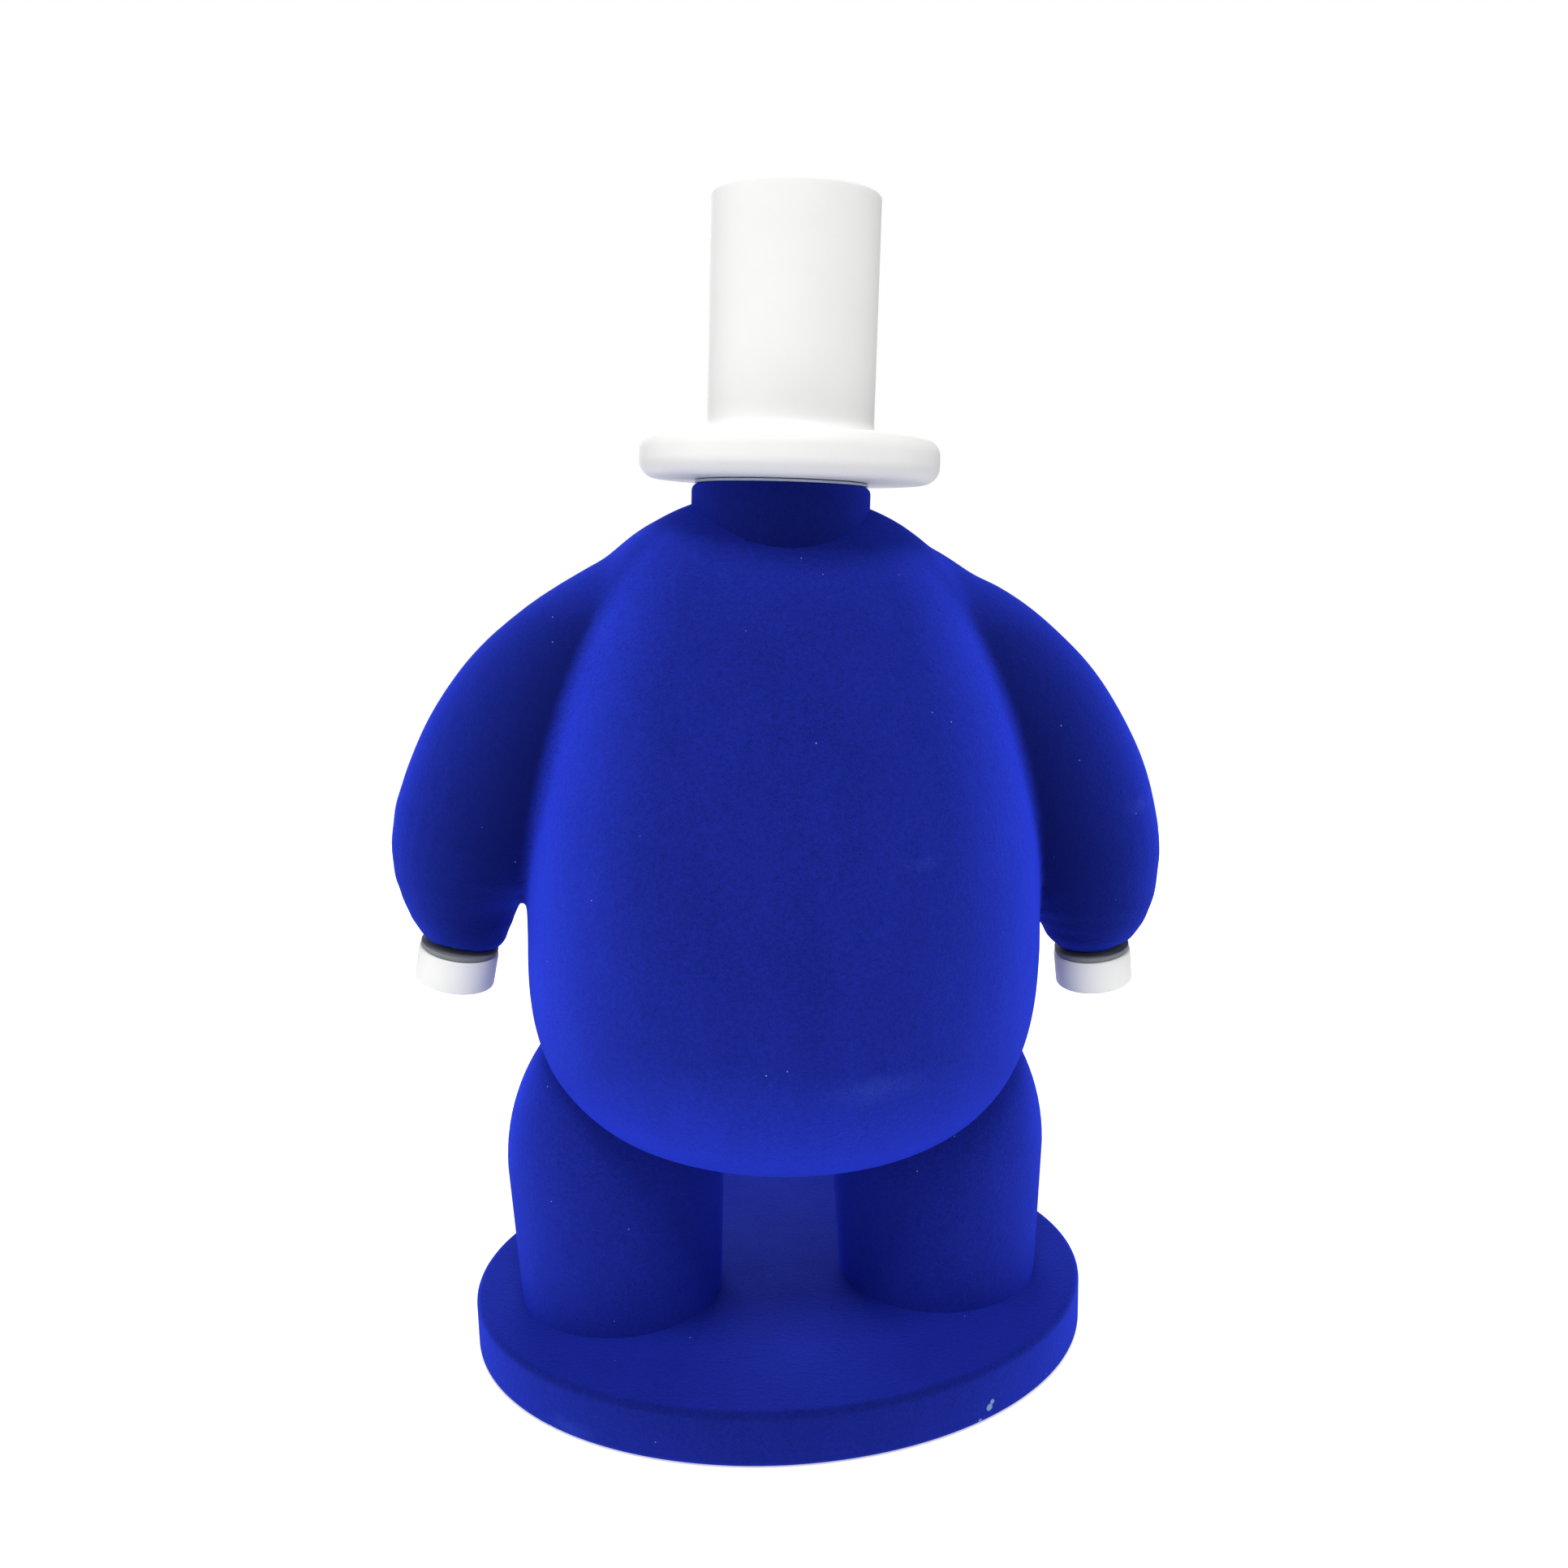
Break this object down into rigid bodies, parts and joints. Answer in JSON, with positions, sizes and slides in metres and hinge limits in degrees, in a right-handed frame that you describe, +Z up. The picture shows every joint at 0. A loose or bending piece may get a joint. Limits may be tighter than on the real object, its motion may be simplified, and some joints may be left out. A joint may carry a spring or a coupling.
{
  "type": "flocked stout figure with a top hat",
  "caption": "Free-standing stout figure in blue flock on an oval board, with hanging arms, lift-off turning white top hat and turning white hand stubs.",
  "frame": {"origin": "centre of the oval board's underside", "axes": "+Z up; the belly faces -Y; the board's long axis is X; left parts are on -X"},
  "size_m": [0.203, 0.1368, 0.2997],
  "materials": {
    "blue_flock": "short flock over a painted core",
    "white_paint": "matte white paint",
    "washer_grey": "matte",
    "ring_grey": "matte",
    "bare_beech": "bare",
    "nylon": "natural",
    "zinc_steel": "zinc plated"
  },
  "bodies": {
    "figure": {"neck": "blue_flock", "neck_bush": "nylon", "neck_ring": "ring_grey", "base_board": "blue_flock", "base_screws": "zinc_steel", "left_leg": "blue_flock", "right_leg": "blue_flock", "leg_dowels": "bare_beech", "left_arm": "blue_flock", "left_wrist_bush": "nylon", "left_wrist_washer": "washer_grey", "right_arm": "blue_flock", "right_wrist_bush": "nylon", "right_wrist_washer": "washer_grey", "arm_dowels": "bare_beech", "torso_dowels": "bare_beech", "torso_front_block": "blue_flock", "torso_rear_block": "blue_flock"},
    "peg": {"hat_peg": "bare_beech"},
    "top_hat": {"hat": "white_paint"},
    "left_hand": {"left_hand_stub": "white_paint", "left_wrist_pin": "bare_beech"},
    "right_hand": {"right_hand_stub": "white_paint", "right_wrist_pin": "bare_beech"}
  },
  "joints": [
    {"name": "hat_lift", "type": "slide", "parent": "figure", "child": "peg", "axis": [0.0523, 0.0401, 0.9978], "range_m": [0, 0.045]},
    {"name": "hat_turn", "type": "hinge", "parent": "peg", "child": "top_hat", "pos_m": [0.00721, 0.00055, 0.22972], "axis": [0.0523, 0.0401, 0.9978], "continuous": true},
    {"name": "left_hand_turn", "type": "hinge", "parent": "figure", "child": "left_hand", "pos_m": [-0.08429, 0.00055, 0.10306], "axis": [0.2162, -0.0827, 0.9728], "continuous": true},
    {"name": "right_hand_turn", "type": "hinge", "parent": "figure", "child": "right_hand", "pos_m": [0.08913, 0.00035, 0.09347], "axis": [-0.1135, -0.0823, 0.9901], "continuous": true}
  ]
}
